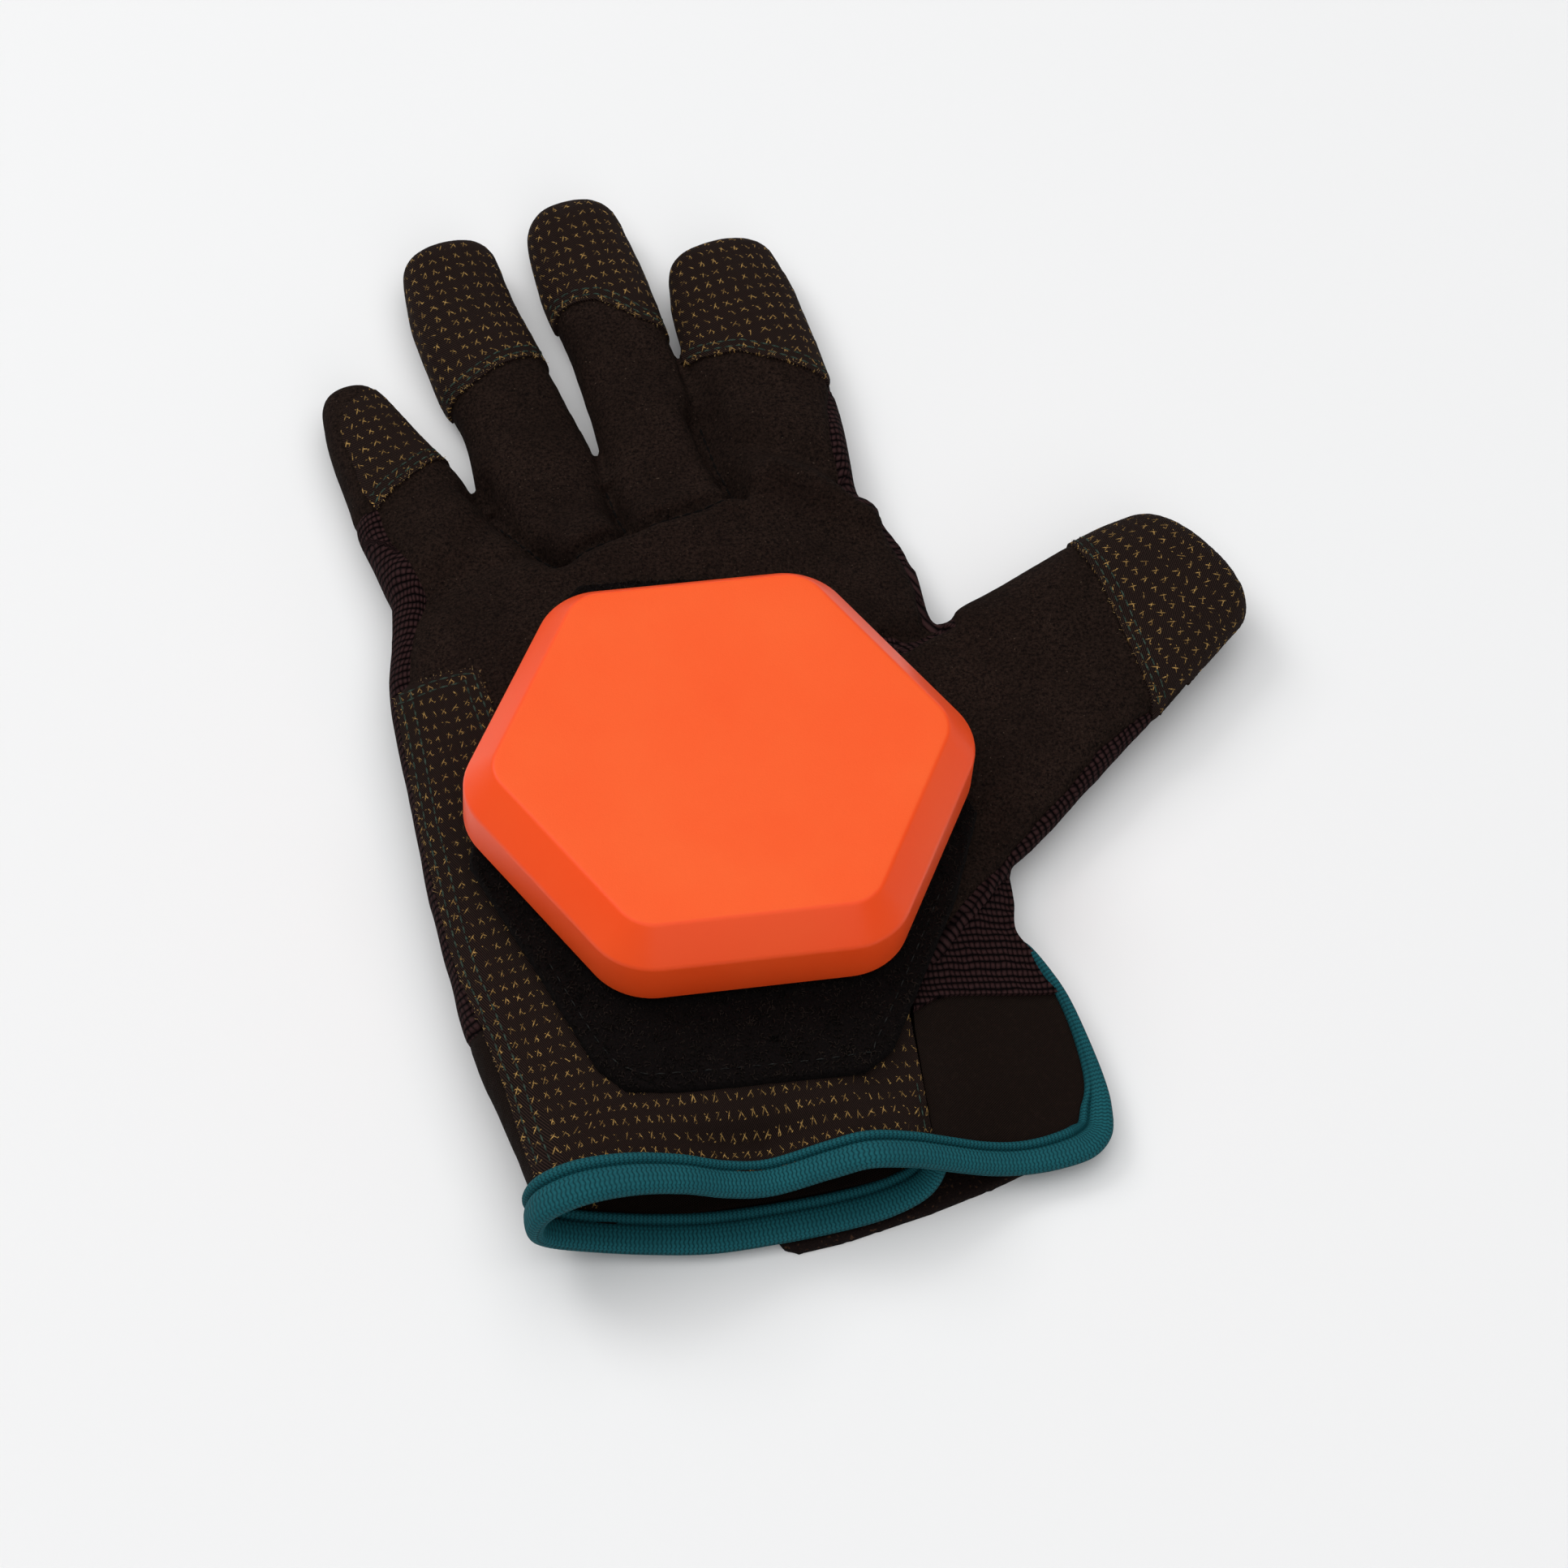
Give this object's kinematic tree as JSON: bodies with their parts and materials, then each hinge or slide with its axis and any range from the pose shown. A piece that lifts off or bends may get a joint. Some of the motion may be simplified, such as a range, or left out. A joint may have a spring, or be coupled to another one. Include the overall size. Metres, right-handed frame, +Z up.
{
  "type": "longboard slide glove",
  "caption": "Right-hand slide glove lying palm up: suede palm, aramid fingertips and heel, knit back, bound cuff with a strap, and a hexagonal plastic puck held on the palm by hook and loop.",
  "frame": {"origin": "on the surface that the back of the hand rests on, straight under the middle of the puck", "axes": "+Y from the wrist to the fingertips, +X towards the thumb, +Z up, out of the palm"},
  "size_m": [0.1765, 0.2498, 0.0412],
  "materials": {
    "suede": "fine matt nap, near-black brown",
    "aramid_cloth": "dark twill with rows of tan aramid flecks",
    "rib_knit": "ribbed dark brown knit",
    "smooth_stretch_cloth": "flat fine knit, near black",
    "loop_pile": "black brushed loop pile",
    "hook_tape": "black hook tape",
    "orange_plastic": "moulded orange plastic, fine matt grain on top, satin on the bevels and walls",
    "teal_binding": "fine ribbed teal elastic binding",
    "strap_cloth": "dark strap cloth with brown flecks"
  },
  "bodies": {
    "root": {"palm_panel": "suede", "ring_front": "suede", "middle_front": "suede", "pinky_tip": "aramid_cloth", "ring_tip": "aramid_cloth", "middle_tip": "aramid_cloth", "index_tip": "aramid_cloth", "thumb_tip": "aramid_cloth", "heel_panel": "aramid_cloth", "pinky_tip_back": "suede", "ring_tip_back": "suede", "middle_tip_back": "suede", "index_tip_back": "suede", "thumb_tip_back": "suede", "hand_back": "rib_knit", "thumb_back": "rib_knit", "thumb_gusset": "rib_knit", "wrist_panel": "smooth_stretch_cloth", "wrist_back": "smooth_stretch_cloth", "loop_patch": "loop_pile", "hook_pad": "hook_tape", "puck": "orange_plastic", "cuff_binding": "teal_binding", "closure_strap": "strap_cloth"}
  },
  "joints": []
}
